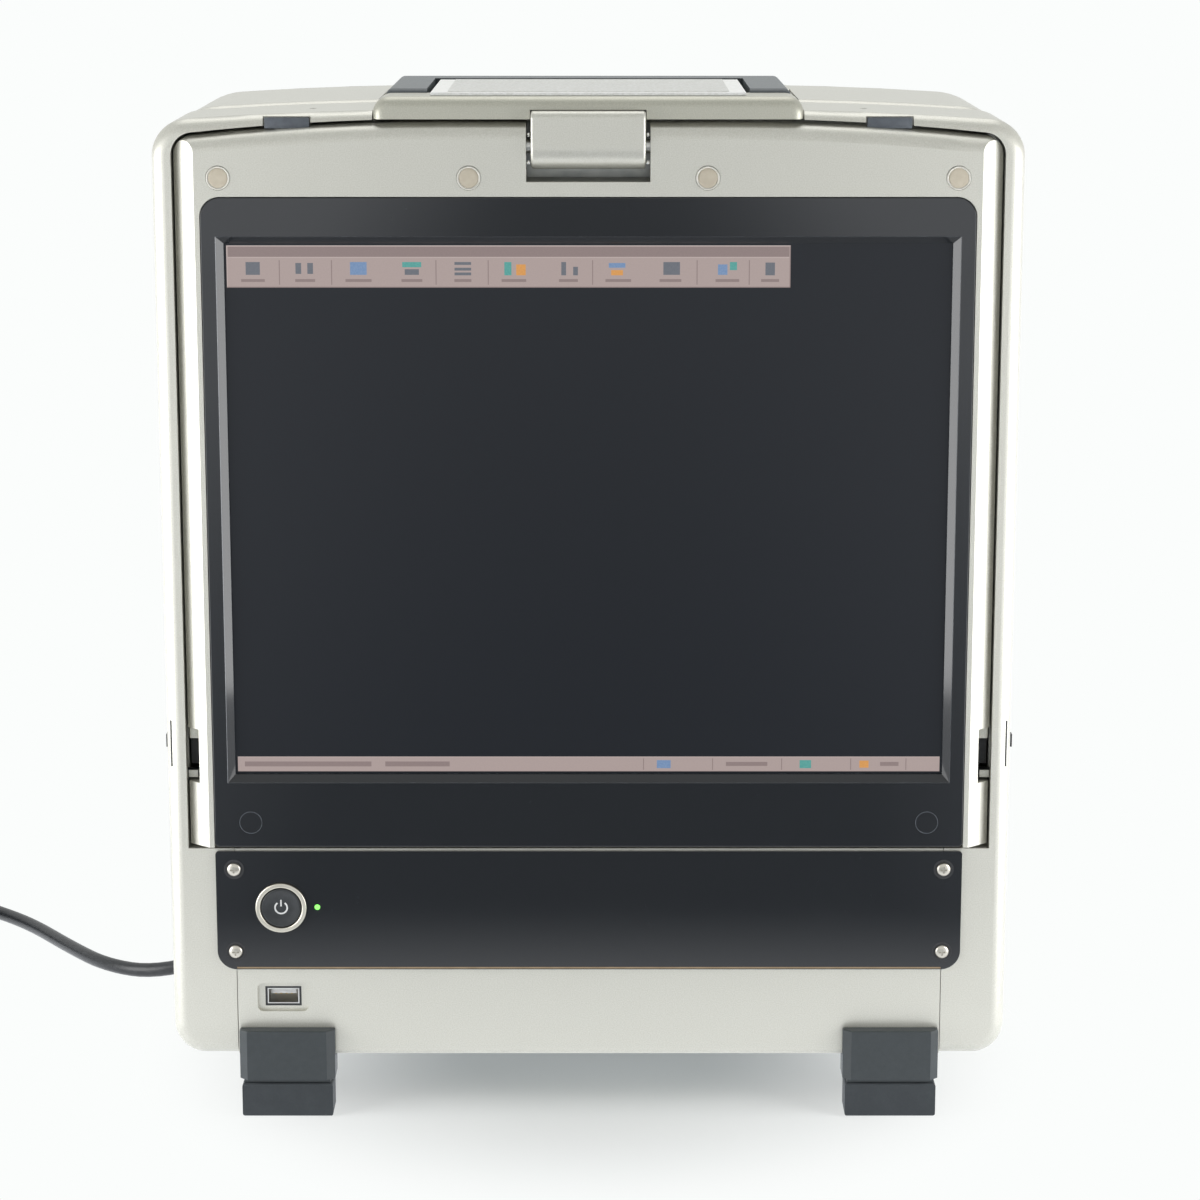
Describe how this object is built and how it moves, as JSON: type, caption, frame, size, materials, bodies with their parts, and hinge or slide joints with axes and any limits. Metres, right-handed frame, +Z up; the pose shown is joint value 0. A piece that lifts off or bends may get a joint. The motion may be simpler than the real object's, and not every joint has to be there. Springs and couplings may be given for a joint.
{
  "type": "digital microscope controller",
  "caption": "Upright digital microscope main unit: case with tilting display, folding carry handle, power button, locks, fan and mains lead.",
  "frame": {"origin": "centre of the footprint, on the surface that the feet stand on", "axes": "+Z up, -Y the side with the display, +X to the right seen from the display side"},
  "size_m": [0.6271, 0.3425, 0.4486],
  "materials": {
    "painted_case": "warm silver metallic paint on moulded plastic, fine satin",
    "bright_plate": "ribbed light metal plate, satin",
    "black_gloss": "piano black acrylic",
    "dark_plastic": "dark grey moulded plastic, fine grain",
    "rubber": "dark grey rubber, slightly worn",
    "screen_glass": "matt anti-glare front of a lit display",
    "beige_cap": "beige moulded caps",
    "steel": "plain steel",
    "bright_steel": "polished bright metal",
    "sheet_steel": "zinc plated sheet",
    "circuit_board": "green solder mask",
    "bare_aluminium": "plain aluminium",
    "brass": "plain brass",
    "led_green": "lit green lens",
    "cord_jacket": "black flexible jacket, satin",
    "black_plastic": "black moulded plastic"
  },
  "bodies": {
    "case": {"front_frame": "painted_case", "left_side_cover": "painted_case", "right_side_cover": "painted_case", "top_cover": "painted_case", "top_bar": "painted_case", "top_plate": "bright_plate", "handle_pins": "steel", "lower_front_panel": "painted_case", "fascia_plate": "black_gloss", "fascia_screws": "bright_steel", "power_button_ring": "bright_steel", "power_switch": "black_plastic", "status_led": "led_green", "usb_shell": "bright_steel", "usb_tongue": "black_plastic", "hinge_block": "painted_case", "hinge_pin": "steel", "hinge_bracket": "sheet_steel", "front_feet": "dark_plastic", "rear_feet": "dark_plastic", "foot_soles": "rubber", "case_screws": "steel", "bottom_cover": "sheet_steel", "front_chassis_plate": "sheet_steel", "chassis_shelf": "sheet_steel", "main_board": "circuit_board", "board_standoffs": "brass", "heatsink": "bare_aluminium", "hard_disk": "bare_aluminium", "power_supply": "sheet_steel", "lamp_house": "sheet_steel", "lamp": "screen_glass", "lamp_reflector": "bare_aluminium", "light_guide_port": "bare_aluminium", "fan_frame": "black_plastic", "fan_guard": "bright_steel", "rear_cover": "painted_case", "mains_inlet": "black_plastic", "data_sockets": "bright_steel", "camera_socket": "bright_steel", "speaker": "black_plastic", "power_cord": "cord_jacket", "cord_coil": "cord_jacket", "cord_connector": "cord_jacket", "mains_plug": "cord_jacket"},
    "display": {"display_frame": "painted_case", "display_bezel": "black_gloss", "bezel_plugs": "black_plastic", "screw_caps": "beige_cap", "lcd_screen": "screen_glass", "lcd_module": "sheet_steel", "lcd_driver_board": "circuit_board", "backlight_inverter": "circuit_board", "hinge_knuckles": "steel", "latch_keepers": "black_plastic"},
    "handle": {"carry_handle": "dark_plastic"},
    "button": {"power_button": "black_plastic"},
    "left_lock": {"left_lock_lever": "black_plastic"},
    "right_lock": {"right_lock_lever": "black_plastic"},
    "fan": {"fan_rotor": "black_plastic"}
  },
  "joints": [
    {"name": "display_tilt", "type": "hinge", "parent": "case", "child": "display", "pos_m": [0, -0.081, 0.426], "axis": [-1, 0, 0], "range_deg": [0, 30]},
    {"name": "handle_fold", "type": "hinge", "parent": "case", "child": "handle", "pos_m": [0, -0.0558, 0.445], "axis": [1, 0, 0], "range_deg": [0, 90]},
    {"name": "power_button_press", "type": "slide", "parent": "case", "child": "button", "axis": [0, 1, 0], "range_m": [0, 0.0025], "stiffness_N_per_m": 400, "springref_m": -0.002},
    {"name": "left_lock_slide", "type": "slide", "parent": "case", "child": "left_lock", "axis": [0, 0, 1], "range_m": [0, 0.014]},
    {"name": "right_lock_slide", "type": "slide", "parent": "case", "child": "right_lock", "axis": [0, 0, 1], "range_m": [0, 0.014]},
    {"name": "fan_spin", "type": "hinge", "parent": "case", "child": "fan", "pos_m": [-0.08, 0.0671, 0.27], "axis": [0, 1, 0], "continuous": true}
  ]
}
